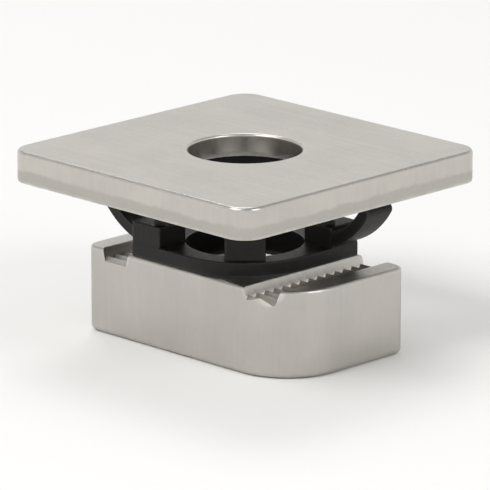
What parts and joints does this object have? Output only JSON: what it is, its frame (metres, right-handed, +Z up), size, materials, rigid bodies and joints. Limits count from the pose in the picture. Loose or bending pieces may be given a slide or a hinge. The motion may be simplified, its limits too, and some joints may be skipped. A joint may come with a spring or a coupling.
{
  "type": "twist-in channel nut with saddle plate",
  "caption": "Oblong toothed channel nut hung from a square saddle plate by a sprung plastic holder, for fixing a bolt in a slotted rail after a quarter turn.",
  "frame": {"origin": "under the middle of the nut, on the bolt's axis, where the part stands", "axes": "+Z up along the bolt's axis from nut to plate, +X along the nut's length, +Y across it"},
  "size_m": [0.041, 0.041, 0.0245],
  "materials": {
    "plate_steel": "zinc plated, satin",
    "holder_plastic": "moulded, fine matt grain",
    "nut_steel": "zinc plated, satin"
  },
  "bodies": {
    "root": {"saddle_plate": "plate_steel", "spring_holder": "holder_plastic", "channel_nut": "nut_steel"}
  },
  "joints": []
}
